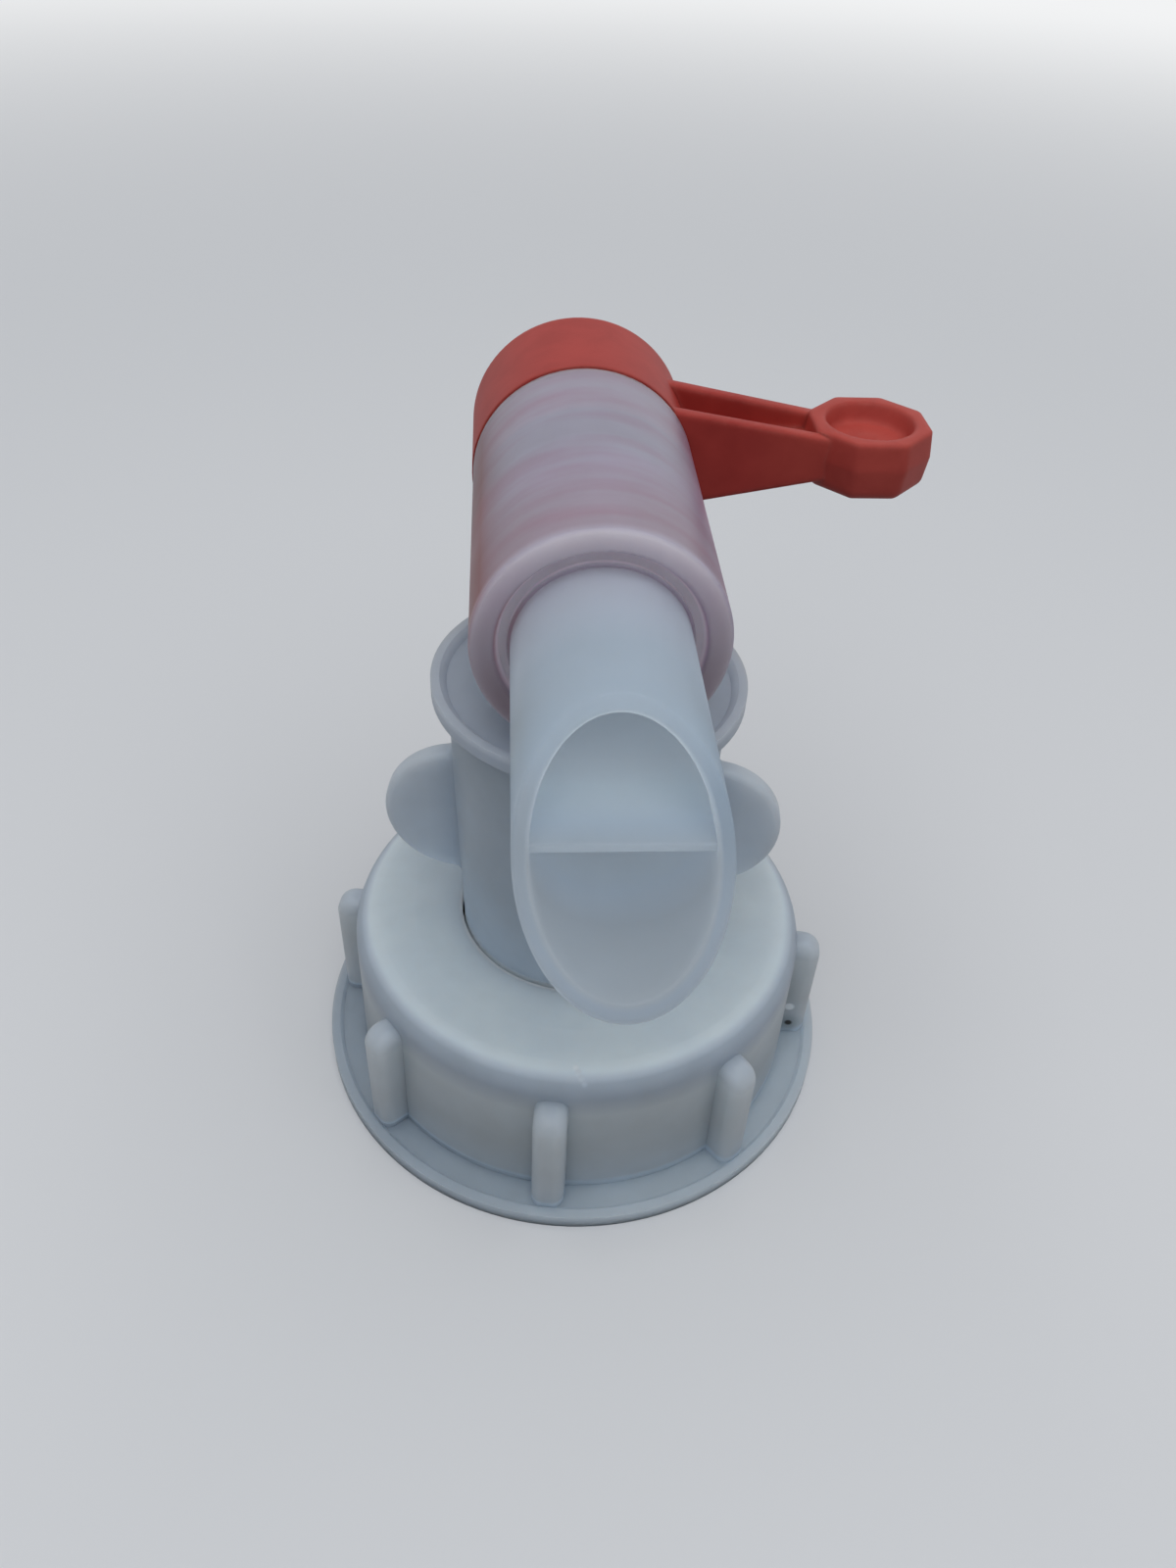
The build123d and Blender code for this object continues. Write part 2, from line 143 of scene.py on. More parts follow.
# Past the lamp's reach the table fades into the room, to the eye only
spot = add_node(tree, "ShaderNodeTexCoord").outputs["Object"]
away = add_node(tree, "ShaderNodeVectorMath", {0: spot}, operation="LENGTH").outputs["Value"]
fades = add_node(tree, "ShaderNodeMapRange", {
    "Value": away, "From Min": fade_start, "From Max": fade_end,
}, interpolation_type="SMOOTHSTEP")
fades = add_node(tree, "ShaderNodeMath", {
    0: fades.outputs[0], 1: shows_itself(tree),
}, operation="MULTIPLY")
haze = add_node(tree, "ShaderNodeEmission", {"Color": room_seen})
surface = add_node(tree, "ShaderNodeMixShader", {
    0: fades.outputs[0], 1: paint.outputs["BSDF"], 2: haze.outputs[0],
})
tree.links.new(surface.outputs[0], output.inputs["Surface"])
turns = [2 * math.pi * k / table_sides for k in range(table_sides)]
corners = [(table_radius * math.cos(turn), table_radius * math.sin(turn), 0) for turn in turns]
table_mesh = bpy.data.meshes.new("table")
table_mesh.from_pydata(corners, [], [range(table_sides)])
table_mesh.materials.append(table_paint)
table = bpy.data.objects.new("table", table_mesh)
scene.collection.objects.link(table)

scene.world = bpy.data.worlds.new("pale_room")
scene.world.use_nodes = True
tree = scene.world.node_tree
tree.nodes.clear()
lights = add_node(tree, "ShaderNodeBackground", {"Color": room_light, "Strength": room_strength})
shows = add_node(tree, "ShaderNodeBackground", {"Color": room_seen, "Strength": 1.0})
world = add_node(tree, "ShaderNodeMixShader", {
    0: shows_itself(tree), 1: lights.outputs[0], 2: shows.outputs[0],
})
add_node(tree, "ShaderNodeOutputWorld", {"Surface": world.outputs[0]})

lamp_data = bpy.data.lights.new("lamp_above", "AREA")
lamp_data.size = lamp_size
lamp_data.energy = lamp_power
lamp_data.color = lamp_colour
lamp = bpy.data.objects.new("lamp_above", lamp_data)
lamp_turn = (lamp_aim - lamp_place).to_track_quat("-Z", "Y")
lamp.matrix_world = Matrix.Translation(lamp_place) @ lamp_turn.to_matrix().to_4x4()
scene.collection.objects.link(lamp)


# Screw cap
# Natural polyethylene, injection moulded: milky, satin and a little translucent, so that it has
# soft shading, glows where light comes through a thin wall and is greyer over its deep inside.
# It has eight grip ribs, a scuff on its shoulder and a speck of dirt at the foot of a rib.
millimetres = (1000, 1000, 1000)
cap_height = (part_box("screw_cap")[1] * 1000).z
# Widths of the patterns in millimetres. Depths are in metres, as the Bump node takes them
ripple_width = 5
grain_width = 0.5
grain_depth = 0.000006
cloud_width = 9


def natural_polyethylene(name, waviness):
    """The moulded plastic of cap and tap: gives the material, its tree, the place in millimetres,
    the soft clouding that its colour is still to be multiplied by, its shader and its output."""
    material, tree, output = new_material(name)
    metres = add_node(tree, "ShaderNodeTexCoord").outputs["Object"]
    place = add_node(tree, "ShaderNodeMapping", {"Vector": metres, "Scale": millimetres}).outputs["Vector"]
    # Ripples from uneven cooling, over the fine grain of the mould's eroded steel, which is drawn
    # wide enough to show
    ripple = add_node(tree, "ShaderNodeTexNoise", {
        "Vector": place, "Scale": 1 / ripple_width, "Detail": 1.0,
    })
    grain = add_node(tree, "ShaderNodeTexNoise", {
        "Vector": place, "Scale": 1 / grain_width, "Detail": 2.0,
    })
    rough = add_node(tree, "ShaderNodeBump", {"Height": grain.outputs[0], "Distance": grain_depth})
    uneven = add_node(tree, "ShaderNodeBump", {
        "Height": ripple.outputs[0], "Distance": waviness, "Normal": rough.outputs["Normal"],
    })
    shader = add_node(tree, "ShaderNodeBsdfPrincipled", {
        "Normal": uneven.outputs["Normal"],
        "Roughness": 0.38,
        "IOR": 1.51,
        "Specular IOR Level": 0.25,
        "Subsurface Weight": 1.0,
        "Subsurface Radius": (1.0, 0.9, 0.85),
        "Subsurface Scale": 0.010,
    })
    tree.links.new(shader.outputs["BSDF"], output.inputs["Surface"])
    # Clouds in the tone of the plastic
    clouds = add_node(tree, "ShaderNodeTexNoise", {
        "Vector": place, "Scale": 1 / cloud_width, "Detail": 3.0,
    })
    clouds = add_node(tree, "ShaderNodeValToRGB", {"Fac": clouds.outputs[0]},
                      [(0.3, linear("#f6f5f3")), (0.7, linear("#ffffff"))])
    return material, tree, place, clouds.outputs[0], shader, output


def finish_node(name, material):
    """Gives a node of the frame its material."""
    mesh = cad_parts[name].data
    mesh.materials.clear()
    mesh.materials.append(material)


def ramp_stops(tones, low, high):
    """A colour ramp's stops, from sRGB hex values by their places on a measure from low to high."""
    return [((place - low) / (high - low), linear(shade)) for place, shade in tones.items()]


# Tones by the height above the open end, in millimetres: flange, skirt, shoulder and top. The top is
# # painted paler, which is painted light for what comes through it where the tap shades it. The skirt
# # is darker towards its foot.
cap_tones = {
    0.0: "#c5d4e2",
    2.6: "#c5d4e2",
    3.4: "#b5bec5",
    10.0: "#bbc3c8",
    18.5: "#cbd4d9",
    22.2: "#adb9c6",
    24.3: "#adbac7",
    24.9: "#c6d4e2",
    25.25: "#dceffe",
}
flange_top = 2.6
flange_left_tone = linear("#a8b5c2")
left_start = 8.0
left_end = -30.0
hole_radius = 17.3
hole_painted_light = linear("#f3faff")
# A round wall's own tone is full this near outside its radius, and gone this far outside it
wall_near = 0.1
wall_far = 0.5
cap_waviness = 0.00004
cap_polyethylene, tree, place, clouds, shader, output = natural_polyethylene(
    "natural_polyethylene_cap", cap_waviness)
axes = add_node(tree, "ShaderNodeSeparateXYZ", {"Vector": place}).outputs
height = add_node(tree, "ShaderNodeMapRange", {"Value": axes["Z"], "From Max": cap_height})
tone = add_node(tree, "ShaderNodeValToRGB", {"Fac": height.outputs[0]},
                ramp_stops(cap_tones, 0, cap_height))
# The flange is darker on its left
to_left = add_node(tree, "ShaderNodeMapRange", {
    "Value": axes["X"], "From Min": left_start, "From Max": left_end,
}, interpolation_type="SMOOTHSTEP")
on_flange = add_node(tree, "ShaderNodeMath", {0: axes["Z"], 1: flange_top}, operation="LESS_THAN")
on_left = add_node(tree, "ShaderNodeMath", {
    0: to_left.outputs[0], 1: on_flange.outputs[0],
}, operation="MULTIPLY")
colour = add_node(tree, "ShaderNodeMix", {
    factor: on_left.outputs[0], first: tone.outputs[0], second: flange_left_tone,
}, data_type="RGBA")
colour = add_node(tree, "ShaderNodeMix", {
    factor: 1.0, first: colour.outputs[mixed], second: clouds,
}, data_type="RGBA", blend_type="MULTIPLY")

# The wall of the hole for the stem, painted near white: painted light in place of the shade in the narrow
# gap round the stem
level_place = add_node(tree, "ShaderNodeMapping", {"Vector": place, "Scale": (1, 1, 0)}).outputs["Vector"]
from_stem = add_node(tree, "ShaderNodeVectorMath", {0: level_place}, operation="LENGTH")
at_hole = add_node(tree, "ShaderNodeMapRange", {
    "Value": from_stem.outputs["Value"],
    "From Min": hole_radius + wall_far,
    "From Max": hole_radius + wall_near,
})
colour = add_node(tree, "ShaderNodeMix", {
    factor: at_hole.outputs[0], first: colour.outputs[mixed], second: hole_painted_light,
}, data_type="RGBA")

# Small marks: the middle in millimetres, how far the full shade and its edge reach, and the shade
marks = {
    "smudge": ((33.7, -7.3, 4.0), 0.7, 2.6, "#9aa3a8"),
    "dirt_speck": ((33.7, -7.3, 4.0), 0.35, 0.8, "#37322d"),
    # A pale spot where the cap has a small nub, which is not modelled: painted highlight
    "nub_painted_highlight": ((33.3, -7.2, 7.9), 0.5, 1.0, "#eef5fa"),
    "scuff_start": ((-1.8, -30.3, 25.4), 0.1, 0.6, "#e6f3ff"),
    "scuff_middle": ((-1.5, -30.9, 25.2), 0.2, 0.7, "#d3e0ec"),
    "scuff_lower": ((-1.1, -31.5, 24.8), 0.2, 0.6, "#c6d3df"),
    "scuff_end": ((-0.7, -32.1, 24.3), 0.1, 0.6, "#bfccd8"),
}
for middle, core, reach, shade in marks.values():
    away = add_node(tree, "ShaderNodeVectorMath", {0: place, 1: middle}, operation="DISTANCE")
    marked = add_node(tree, "ShaderNodeMapRange", {
        "Value": away.outputs["Value"], "From Min": reach, "From Max": core,
    }, interpolation_type="SMOOTHSTEP")
    colour = add_node(tree, "ShaderNodeMix", {
        factor: marked.outputs[0], first: colour.outputs[mixed], second: linear(shade),
    }, data_type="RGBA")
tree.links.new(colour.outputs[mixed], shader.inputs["Base Color"])
finish_node("screw_cap", cap_polyethylene)


# Thread inside the screw cap
# Moulded in one with the cap and of its plastic: a ridge of trapezoid section that climbs
# right-handed round the inside of the skirt and runs out at both ends.
points_a_turn = 96
thinnest_end = 0.12
# In metres, but for the count of turns and the run-out, which is a share of the whole length
thread_sizes = {
    "Root Radius": 0.0308,
    "Let In": 0.0004,
    "Depth": 0.0014,
    "Foot Width": 0.0028,
    "Crest Width": 0.0011,
    "Pitch": 0.0040,
    "Turns": 2.5,
    "First Height": 0.0028,
    "Run Out": 0.07,
}
tree = bpy.data.node_groups.new("thread_ridge", "GeometryNodeTree")
for name in thread_sizes:
    tree.interface.new_socket(name, in_out="INPUT", socket_type="NodeSocketFloat")
tree.interface.new_socket("Geometry", in_out="OUTPUT", socket_type="NodeSocketGeometry")
given = add_node(tree, "NodeGroupInput").outputs
line_radius = add_node(tree, "ShaderNodeMath", {
    0: given["Root Radius"], 1: given["Let In"],
}, operation="ADD").outputs[0]
climb = add_node(tree, "ShaderNodeMath", {
    0: given["Pitch"], 1: given["Turns"],
}, operation="MULTIPLY").outputs[0]
helix = add_node(tree, "GeometryNodeCurveSpiral", {
    "Resolution": points_a_turn,
    "Rotations": given["Turns"],
    "Start Radius": line_radius,
    "End Radius": line_radius,
    "Height": climb,
    "Reverse": True,
})
helix = add_node(tree, "GeometryNodeSetCurveNormal", {"Curve": helix.outputs[0]}, mode="Z_UP")
part_way = add_node(tree, "GeometryNodeSplineParameter").outputs["Factor"]
from_end = add_node(tree, "ShaderNodeMath", {0: part_way, 1: 0.5}, operation="PINGPONG")
taper = add_node(tree, "ShaderNodeMapRange", {
    "Value": from_end.outputs[0], "From Max": given["Run Out"], "To Min": thinnest_end,
})
helix = add_node(tree, "GeometryNodeSetCurveRadius", {
    "Curve": helix.outputs[0], "Radius": taper.outputs[0],
})
section_depth = add_node(tree, "ShaderNodeMath", {
    0: given["Depth"], 1: given["Let In"],
}, operation="ADD").outputs[0]
section = add_node(tree, "GeometryNodeCurvePrimitiveQuadrilateral", {
    "Bottom Width": given["Foot Width"],
    "Top Width": given["Crest Width"],
    "Offset": 0.0,
    "Height": section_depth,
}, mode="TRAPEZOID")
half_depth = add_node(tree, "ShaderNodeMath", {0: section_depth, 1: 0.5}, operation="MULTIPLY")
foot_at_line = add_node(tree, "ShaderNodeCombineXYZ", {"Y": half_depth.outputs[0]}).outputs[0]
section = add_node(tree, "GeometryNodeTransform", {
    "Geometry": section.outputs[0], "Translation": foot_at_line,
})
crest_inwards = (0.0, 0.0, math.radians(90))
section = add_node(tree, "GeometryNodeTransform", {
    "Geometry": section.outputs[0], "Rotation": crest_inwards,
})
ridge = add_node(tree, "GeometryNodeCurveToMesh", {
    "Curve": helix.outputs[0], "Profile Curve": section.outputs[0], "Fill Caps": True,
})
lift = add_node(tree, "ShaderNodeCombineXYZ", {"Z": given["First Height"]}).outputs[0]
ridge = add_node(tree, "GeometryNodeTransform", {"Geometry": ridge.outputs[0], "Translation": lift})
ridge = add_node(tree, "GeometryNodeRealizeInstances", {"Geometry": ridge.outputs[0]})
ridge = add_node(tree, "GeometryNodeSetMaterial", {
    "Geometry": ridge.outputs[0], "Material": cap_polyethylene,
})
add_node(tree, "NodeGroupOutput", {"Geometry": ridge.outputs[0]})
thread = bpy.data.objects.new("neck_thread_ridge", bpy.data.meshes.new("neck_thread_ridge"))
scene.collection.objects.link(thread)
maker = thread.modifiers.new("thread_ridge", "NODES")
maker.node_group = tree
for item in tree.interface.items_tree:
    if item.name in thread_sizes:
        maker[item.identifier] = thread_sizes[item.name]
made = thread.evaluated_get(bpy.context.evaluated_depsgraph_get())
thread_mesh = bpy.data.meshes.new_from_object(made)
thread.modifiers.clear()
thread.data = thread_mesh
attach(thread, "cap")


# Tap body
# The same polyethylene, moulded as one piece: stem with two ears, dish, barrel and spout. The
# red plug shows through the barrel's wall, as a mauve cast that is warm on the sides and banded
# where the plug has its grooves and windows. Light comes through the thin wall of the spout.
seal_low, seal_high = [corner * 1000 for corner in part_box("plug_seal_front")]
barrel_axis = (seal_low.z + seal_high.z) / 2
bore_radius = (seal_high.x - seal_low.x) / 2
# In millimetres: places along Y from the stem's axis, radii and a height
spout_end = -60.0
barrel_front = -14.6
groove_floor = -13.4
barrel_back = 26.7
barrel_radius = 14.65
channel_radius = 8.5
spout_radius = 10.1
stem_radius = 17.5
dish_floor = 65.9

body_waviness = 0.00006
body_polyethylene, tree, place, clouds, shader, output = natural_polyethylene(
    "natural_polyethylene_body", body_waviness)
axes = add_node(tree, "ShaderNodeSeparateXYZ", {"Vector": place}).outputs
from_axis = add_node(tree, "ShaderNodeMapping", {
    "Vector": place, "Location": (0, 0, -barrel_axis), "Scale": (1, 0, 1),
})
radius = add_node(tree, "ShaderNodeVectorMath", {0: from_axis.outputs["Vector"]}, operation="LENGTH")
radius = radius.outputs["Value"]
above = add_node(tree, "ShaderNodeMath", {0: axes["Z"], 1: barrel_axis}, operation="SUBTRACT")
# 1 straight above the barrel's axis, 0 beside it and -1 straight below
upness = add_node(tree, "ShaderNodeMath", {0: above.outputs[0], 1: radius}, operation="DIVIDE").outputs[0]

# Tones of spout and barrel, by the place along Y: on top, on the left and on the right. Painted light
# # and shade are in them: the spout is paler next to the lip, where the lip shades it, and darker down
# # its right side, and the barrel's back end is paler where it meets the collar, in place of the shade
# # in that joint.
top_tones = {
    -60.0: "#93a3b3", -28.0: "#91a1b2", -16.0: "#bcbccf", -13.0: "#a0919f",
    -8.0: "#a395a5", 1.0: "#a4a0b3", 7.4: "#9f9cae", 8.4: "#9c99aa",
    14.5: "#9d9aac", 15.5: "#a39aac", 25.6: "#a49dae", 26.3: "#bdb9cb",
}
left_tones = {
    -60.0: "#8e99a4", -32.0: "#858f97", -24.0: "#bcc2cf", -17.0: "#d0cedd",
    -13.0: "#8c474a", -6.0: "#8b4649", -1.0: "#986269", 7.4: "#8f5158",
    8.4: "#864c53", 14.0: "#844e53", 25.6: "#8b6671", 26.3: "#aba1ae",
}
right_tones = {
    -60.0: "#8497a9", -34.0: "#657d93", -26.0: "#b4c3d6", -17.0: "#cbd4e7",
    -13.0: "#8d6581", -4.0: "#8d6482", 4.0: "#b490ac", 9.0: "#be98b2",
    12.5: "#a8849c", 25.6: "#a07a8e", 26.3: "#b5a6b6",
}
along = add_node(tree, "ShaderNodeMapRange", {
    "Value": axes["Y"], "From Min": spout_end, "From Max": barrel_back,
})
on_top, on_left, on_right = [
    add_node(tree, "ShaderNodeValToRGB", {"Fac": along.outputs[0]},
             ramp_stops(tones, spout_end, barrel_back)).outputs[0]
    for tones in (top_tones, left_tones, right_tones)
]
# Left and right run into each other this far to either side of the middle
sides_meet = 6.0
to_right = add_node(tree, "ShaderNodeMapRange", {
    "Value": axes["X"], "From Min": -sides_meet, "From Max": sides_meet,
}, interpolation_type="SMOOTHSTEP")
flank = add_node(tree, "ShaderNodeMix", {
    factor: to_right.outputs[0], first: on_left, second: on_right,
}, data_type="RGBA")
# Beneath, where nothing but the table lights it, the plug shows less
beneath_starts = 0.2
beneath_full = -0.6
beneath = add_node(tree, "ShaderNodeMapRange", {
    "Value": upness, "From Min": beneath_starts, "From Max": beneath_full,
})
flank = add_node(tree, "ShaderNodeMix", {
    factor: beneath.outputs[0], first: flank.outputs[mixed], second: on_top,
}, data_type="RGBA")
# No flank colour on the very top, and all of it 65 degrees down
flank_full = 0.42
flank_power = 2.9
down = add_node(tree, "ShaderNodeMapRange", {"Value": upness, "From Min": 1.0, "From Max": flank_full})
down = add_node(tree, "ShaderNodeMath", {0: down.outputs[0], 1: flank_power}, operation="POWER")
colour = add_node(tree, "ShaderNodeMix", {
    factor: down.outputs[0], first: on_top, second: flank.outputs[mixed],
}, data_type="RGBA").outputs[mixed]

# Arcs of pink round the barrel, where the plug lies closer behind the wall
arc_width = 4
arc_length = 26
arcs_start = 0.42
arcs_full = 0.68
arcs_full_from = -11.0
arcs = add_node(tree, "ShaderNodeMapping", {
    "Vector": place, "Scale": (1 / arc_length, 1 / arc_width, 1 / arc_length),
}).outputs["Vector"]
arcs = add_node(tree, "ShaderNodeTexNoise", {"Vector": arcs, "Scale": 1.0, "Detail": 2.0})
arcs = add_node(tree, "ShaderNodeMapRange", {
    "Value": arcs.outputs[0], "From Min": arcs_start, "From Max": arcs_full,
})
pink = add_node(tree, "ShaderNodeMix", {
    factor: arcs.outputs[0], first: linear("#ffffff"), second: linear("#fbe6ea"),
}, data_type="RGBA")
on_barrel = add_node(tree, "ShaderNodeMapRange", {
    "Value": axes["Y"], "From Min": barrel_front, "From Max": arcs_full_from,
})
colour = add_node(tree, "ShaderNodeMix", {
    factor: on_barrel.outputs[0], first: colour, second: pink.outputs[mixed],
}, data_type="RGBA", blend_type="MULTIPLY").outputs[mixed]

# The lip's flat front, by how far up it is: painted light, pale at the top, where light comes through
# # it, and with less of that on its rounded outer edge
lip_light_tones = {
    -1.0: "#8f7f8a", -0.5: "#9b8d97", 0.0: "#aca2ad",
    0.5: "#c0b4c0", 0.87: "#d2c9d3", 1.0: "#d4ccd6",
}
lip_inside = bore_radius - 1.2
lip_skin = 0.05
lip_depth = 0.4
lip_rounding = 0.45
lip_edge_share = 0.35
turned_up = add_node(tree, "ShaderNodeMapRange", {"Value": upness, "From Min": -1.0})
lip_painted_light = add_node(tree, "ShaderNodeValToRGB", {"Fac": turned_up.outputs[0]},
                    ramp_stops(lip_light_tones, -1, 1))
in_front = add_node(tree, "ShaderNodeMapRange", {
    "Value": axes["Y"], "From Min": barrel_front + lip_depth, "From Max": barrel_front + lip_skin,
})
past_groove = add_node(tree, "ShaderNodeMath", {0: radius, 1: lip_inside}, operation="GREATER_THAN")
on_lip = add_node(tree, "ShaderNodeMath", {
    0: in_front.outputs[0], 1: past_groove.outputs[0],
}, operation="MULTIPLY")
within_edge = add_node(tree, "ShaderNodeMapRange", {
    "Value": radius,
    "From Min": barrel_radius - lip_skin,
    "From Max": barrel_radius - lip_rounding,
    "To Min": lip_edge_share,
})
on_lip = add_node(tree, "ShaderNodeMath", {
    0: on_lip.outputs[0], 1: within_edge.outputs[0],
}, operation="MULTIPLY")
colour = add_node(tree, "ShaderNodeMix", {
    factor: on_lip.outputs[0], first: colour, second: lip_painted_light.outputs[0],
}, data_type="RGBA").outputs[mixed]

# The groove between lip and spout, which is narrow, painted pale pink: painted light in place of the shade
# in the groove
groove_painted_light = linear("#ffe8f6")
groove_outside = bore_radius - 0.75
groove_light_starts = groove_floor - 0.85
groove_light_full = groove_floor - 0.35
near_floor = add_node(tree, "ShaderNodeMapRange", {
    "Value": axes["Y"], "From Min": groove_light_starts, "From Max": groove_light_full,
})
inside_lip = add_node(tree, "ShaderNodeMath", {0: radius, 1: groove_outside}, operation="LESS_THAN")
in_groove = add_node(tree, "ShaderNodeMath", {
    0: near_floor.outputs[0], 1: inside_lip.outputs[0],
}, operation="MULTIPLY")
colour = add_node(tree, "ShaderNodeMix", {
    factor: in_groove.outputs[0], first: colour, second: groove_painted_light,
}, data_type="RGBA").outputs[mixed]

# Inside the spout, by the place along Y: painted light, paler deeper in, for the light that comes through
# the wall
spout_inside_light_tones = {
    -60.0: "#a0a7ab", -47.5: "#9da4a9", -43.0: "#c2d1e0", -38.0: "#eefaff", -34.0: "#ffffff",
}
spout_inside_painted_light = add_node(tree, "ShaderNodeValToRGB", {"Fac": along.outputs[0]},
                       ramp_stops(spout_inside_light_tones, spout_end, barrel_back))
in_channel = add_node(tree, "ShaderNodeMapRange", {
    "Value": radius, "From Min": channel_radius + wall_far, "From Max": channel_radius + wall_near,
})
in_spout = add_node(tree, "ShaderNodeMath", {0: axes["Y"], 1: barrel_front}, operation="LESS_THAN")
in_spout = add_node(tree, "ShaderNodeMath", {
    0: in_channel.outputs[0], 1: in_spout.outputs[0],
}, operation="MULTIPLY")
colour = add_node(tree, "ShaderNodeMix", {
    factor: in_spout.outputs[0], first: colour, second: spout_inside_painted_light.outputs[0],
}, data_type="RGBA").outputs[mixed]

# The stem and the dish below the barrel, by height, and the ears. The stem's foot, where it goes into
# # the cap, is painted near white: painted light in place of the shade in that joint. The ears are
# # painted paler: painted light for the more light that their thin plate lets through
stem_tones = {
    25.1: "#f0f9ff", 25.7: "#b6c3d0", 52.0: "#b9c6d3", 62.0: "#b4c1cd",
    65.95: "#adb8c6", 66.3: "#b9c4d1", 66.9: "#b4bfcd",
}
stem_ramp_top = 70.0
stem_ends = dish_floor + 1.0
barrel_starts = dish_floor + 1.6
ear_painted_light = linear("#c4cfd9")
ear_root = stem_radius + 0.5
ear_thin = stem_radius + 4.0
ears_end = dish_floor - 5.0
up_stem = add_node(tree, "ShaderNodeMapRange", {"Value": axes["Z"], "From Max": stem_ramp_top})
stem_tone = add_node(tree, "ShaderNodeValToRGB", {"Fac": up_stem.outputs[0]},
                     ramp_stops(stem_tones, 0, stem_ramp_top))
beside = add_node(tree, "ShaderNodeMath", {0: axes["X"]}, operation="ABSOLUTE")
on_ear = add_node(tree, "ShaderNodeMapRange", {
    "Value": beside.outputs[0], "From Min": ear_root, "From Max": ear_thin,
})
below_dish = add_node(tree, "ShaderNodeMath", {0: axes["Z"], 1: ears_end}, operation="LESS_THAN")
on_ear = add_node(tree, "ShaderNodeMath", {
    0: on_ear.outputs[0], 1: below_dish.outputs[0],
}, operation="MULTIPLY")
stem_tone = add_node(tree, "ShaderNodeMix", {
    factor: on_ear.outputs[0], first: stem_tone.outputs[0], second: ear_painted_light,
}, data_type="RGBA")
under_barrel = add_node(tree, "ShaderNodeMapRange", {
    "Value": axes["Z"], "From Min": barrel_starts, "From Max": stem_ends,
})
colour = add_node(tree, "ShaderNodeMix", {
    factor: under_barrel.outputs[0], first: colour, second: stem_tone.outputs[mixed],
}, data_type="RGBA").outputs[mixed]
colour = add_node(tree, "ShaderNodeMix", {
    factor: 1.0, first: colour, second: clouds,
}, data_type="RGBA", blend_type="MULTIPLY")
tree.links.new(colour.outputs[mixed], shader.inputs["Base Color"])

# The spout's wall lets half of the light through, which fills its two channels with a soft light
let_through = 0.5
light_through = linear("#eaf0f5")
skin_near = 0.3
skin_far = 0.8
past_lip = add_node(tree, "ShaderNodeMapRange", {
    "Value": axes["Y"], "From Min": groove_floor, "From Max": barrel_front, "To Max": let_through,
})
in_wall = add_node(tree, "ShaderNodeMapRange", {
    "Value": radius, "From Min": spout_radius + skin_far, "From Max": spout_radius + skin_near,
})
thin = add_node(tree, "ShaderNodeMath", {
    0: past_lip.outputs[0], 1: in_wall.outputs[0],
}, operation="MULTIPLY")
through = add_node(tree, "ShaderNodeBsdfTranslucent", {"Color": light_through})
milky = add_node(tree, "ShaderNodeMixShader", {
    0: thin.outputs[0], 1: shader.outputs["BSDF"], 2: through.outputs[0],
})
tree.links.new(milky.outputs[0], output.inputs["Surface"])
finish_node("tap_body", body_polyethylene)


# Plug with lever
# Red polypropylene, injection moulded in one piece and not translucent: an even, slightly
# # chalky red with a satin skin, painted paler along its edges in patches, which is painted highlight.

# Tones by the place along X, from the collar out to the knob
lever_tones = {12.0: "#aa3c35", 22.0: "#a73a34", 30.0: "#b3463d", 49.0: "#b94e45"}
tones_start, tones_end = min(lever_tones), max(lever_tones)
streak_width = 5
lever_grain_width = 0.4
lever_grain_depth = 0.000012
edge_highlight_tone = linear("#c0655b")
highlight_patch_width = 2
highlight_patch_least = 0.35
highlight_patch_most = 0.75
highlight_share = 0.55
edge_rounding = 0.0013
edge_starts = 0.99
edge_full = 0.90
red_polypropylene, tree, output = new_material("red_polypropylene")
metres = add_node(tree, "ShaderNodeTexCoord").outputs["Object"]
place = add_node(tree, "ShaderNodeMapping", {"Vector": metres, "Scale": millimetres}).outputs["Vector"]
axes = add_node(tree, "ShaderNodeSeparateXYZ", {"Vector": place}).outputs
out_along = add_node(tree, "ShaderNodeMapRange", {
    "Value": axes["X"], "From Min": tones_start, "From Max": tones_end,
})
tone = add_node(tree, "ShaderNodeValToRGB", {"Fac": out_along.outputs[0]},
                ramp_stops(lever_tones, tones_start, tones_end))
# Streaks of pigment
streaks = add_node(tree, "ShaderNodeTexNoise", {
    "Vector": place, "Scale": 1 / streak_width, "Detail": 3.0, "Distortion": 0.6,
})
streaks = add_node(tree, "ShaderNodeValToRGB", {"Fac": streaks.outputs[0]},
                   [(0.3, linear("#efe8e8")), (0.7, linear("#ffffff"))])
colour = add_node(tree, "ShaderNodeMix", {
    factor: 1.0, first: tone.outputs[0], second: streaks.outputs[0],
}, data_type="RGBA", blend_type="MULTIPLY")
# The Bevel node lights the edges as rounded, as the moulding's are. Where it turns the surface
# # it also finds the edges, which are painted paler in patches: painted highlight
rounded = add_node(tree, "ShaderNodeBevel", {"Radius": edge_rounding}, samples=6)
flat = add_node(tree, "ShaderNodeNewGeometry").outputs["Normal"]
alike = add_node(tree, "ShaderNodeVectorMath", {0: rounded.outputs[0], 1: flat}, operation="DOT_PRODUCT")
on_edge = add_node(tree, "ShaderNodeMapRange", {
    "Value": alike.outputs["Value"], "From Min": edge_starts, "From Max": edge_full,
})
highlight_patches = add_node(tree, "ShaderNodeTexNoise", {
    "Vector": place, "Scale": 1 / highlight_patch_width, "Detail": 3.0,
})
highlight_patches = add_node(tree, "ShaderNodeMapRange", {
    "Value": highlight_patches.outputs[0],
    "From Min": highlight_patch_least,
    "From Max": highlight_patch_most,
    "To Max": highlight_share,
})
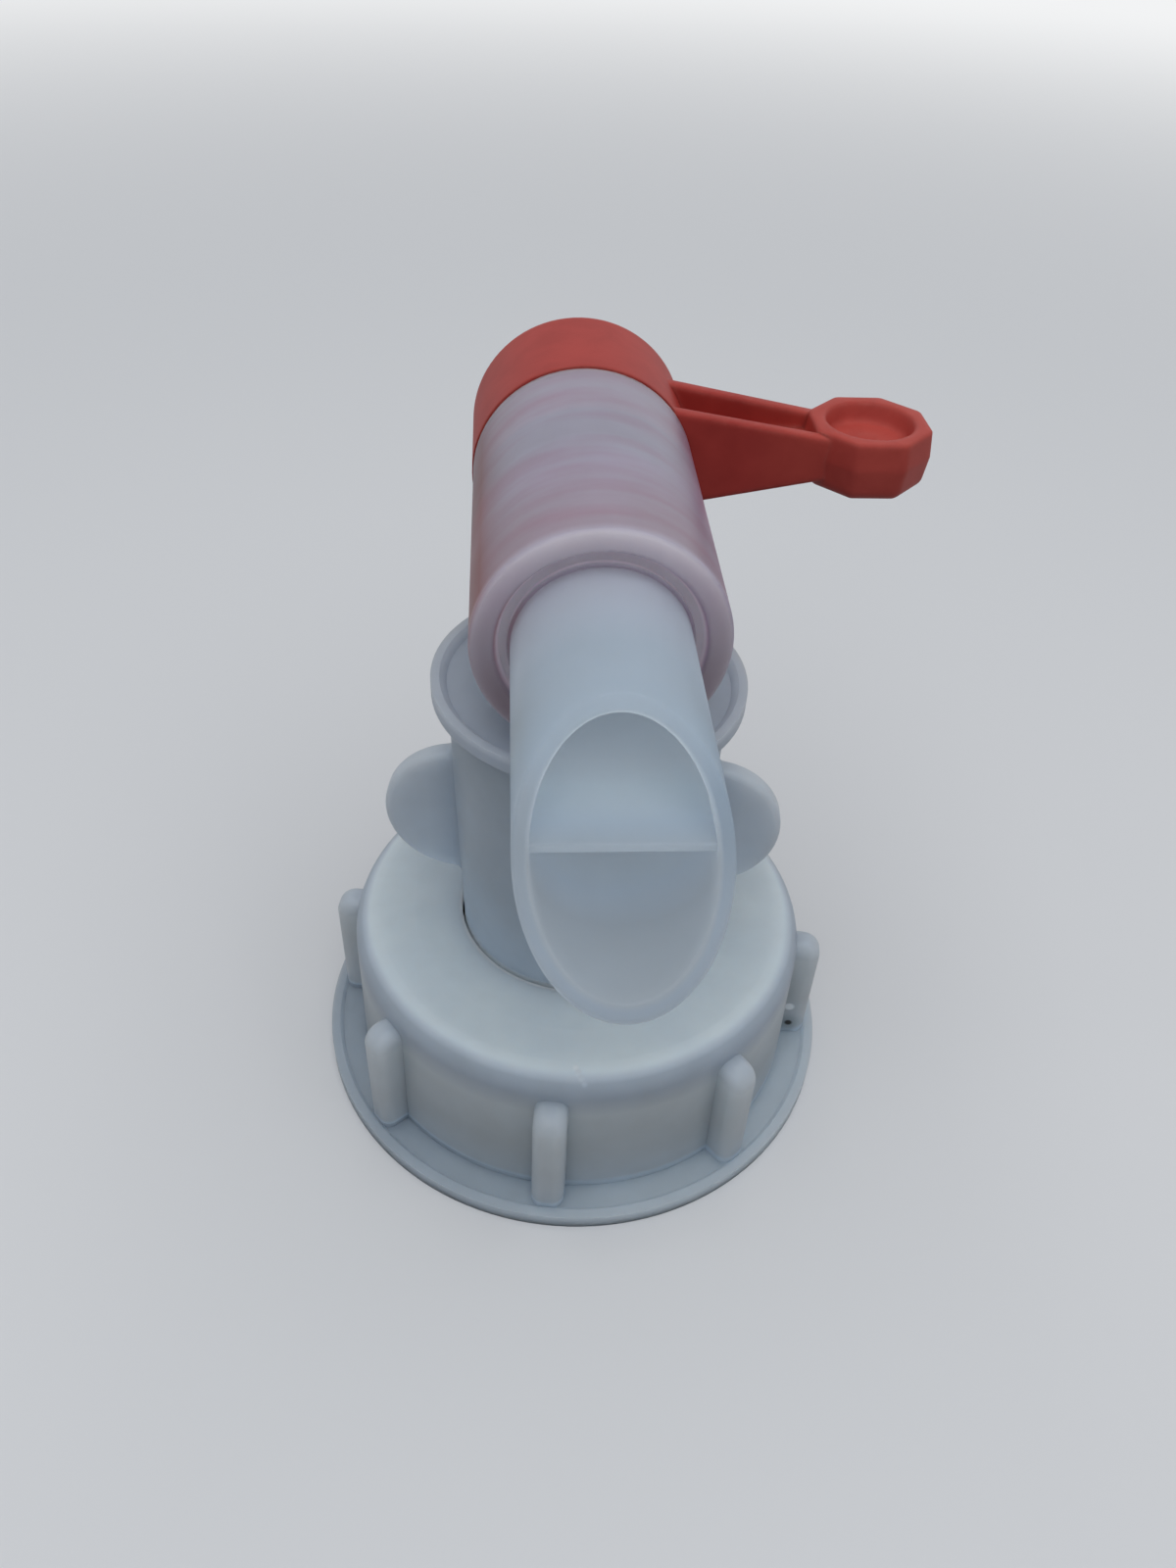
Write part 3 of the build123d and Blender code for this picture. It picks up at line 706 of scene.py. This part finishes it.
edge_highlight = add_node(tree, "ShaderNodeMath", {
    0: on_edge.outputs[0], 1: highlight_patches.outputs[0],
}, operation="MULTIPLY")
colour = add_node(tree, "ShaderNodeMix", {
    factor: edge_highlight.outputs[0], first: colour.outputs[mixed], second: edge_highlight_tone,
}, data_type="RGBA")
# The grain of the mould's eroded steel, drawn wide enough to show
grain = add_node(tree, "ShaderNodeTexNoise", {
    "Vector": place, "Scale": 1 / lever_grain_width, "Detail": 2.0,
})
rough = add_node(tree, "ShaderNodeBump", {
    "Height": grain.outputs[0], "Distance": lever_grain_depth, "Normal": rounded.outputs[0],
})
shader = add_node(tree, "ShaderNodeBsdfPrincipled", {
    "Base Color": colour.outputs[mixed],
    "Normal": rough.outputs["Normal"],
    "Roughness": 0.5,
    "IOR": 1.49,
    "Specular IOR Level": 0.15,
})
tree.links.new(shader.outputs["BSDF"], output.inputs["Surface"])
finish_node("plug_handle", red_polypropylene)


# Washer and ring seals
# Black nitrile rubber, pressed in a mould: near black and dull. The washer under the cap's top
# seals on the can's neck, and the two rings sit in the plug's grooves and seal it in the barrel.
dust_width = 3
dust_starts = 0.4
dust_full = 0.75
clean_roughness = 0.5
dusty_roughness = 0.75
rubber_grain_width = 0.3
rubber_grain_depth = 0.00001
nitrile_rubber, tree, output = new_material("moulded_nitrile_rubber")
metres = add_node(tree, "ShaderNodeTexCoord").outputs["Object"]
place = add_node(tree, "ShaderNodeMapping", {"Vector": metres, "Scale": millimetres}).outputs["Vector"]
# Talc and dust in patches, and a grain drawn wide enough to show
dust = add_node(tree, "ShaderNodeTexNoise", {"Vector": place, "Scale": 1 / dust_width, "Detail": 3.0})
colour = add_node(tree, "ShaderNodeValToRGB", {"Fac": dust.outputs[0]},
                  [(dust_starts, linear("#1a1a1b")), (dust_full, linear("#2a2a2a"))])
dull = add_node(tree, "ShaderNodeMapRange", {
    "Value": dust.outputs[0], "To Min": clean_roughness, "To Max": dusty_roughness,
})
grain = add_node(tree, "ShaderNodeTexNoise", {
    "Vector": place, "Scale": 1 / rubber_grain_width, "Detail": 2.0,
})
rough = add_node(tree, "ShaderNodeBump", {"Height": grain.outputs[0], "Distance": rubber_grain_depth})
shader = add_node(tree, "ShaderNodeBsdfPrincipled", {
    "Base Color": colour.outputs[0], "Roughness": dull.outputs[0], "Normal": rough.outputs["Normal"],
})
tree.links.new(shader.outputs["BSDF"], output.inputs["Surface"])
for name in ("sealing_washer", "plug_seal_front", "plug_seal_back"):
    finish_node(name, nitrile_rubber)
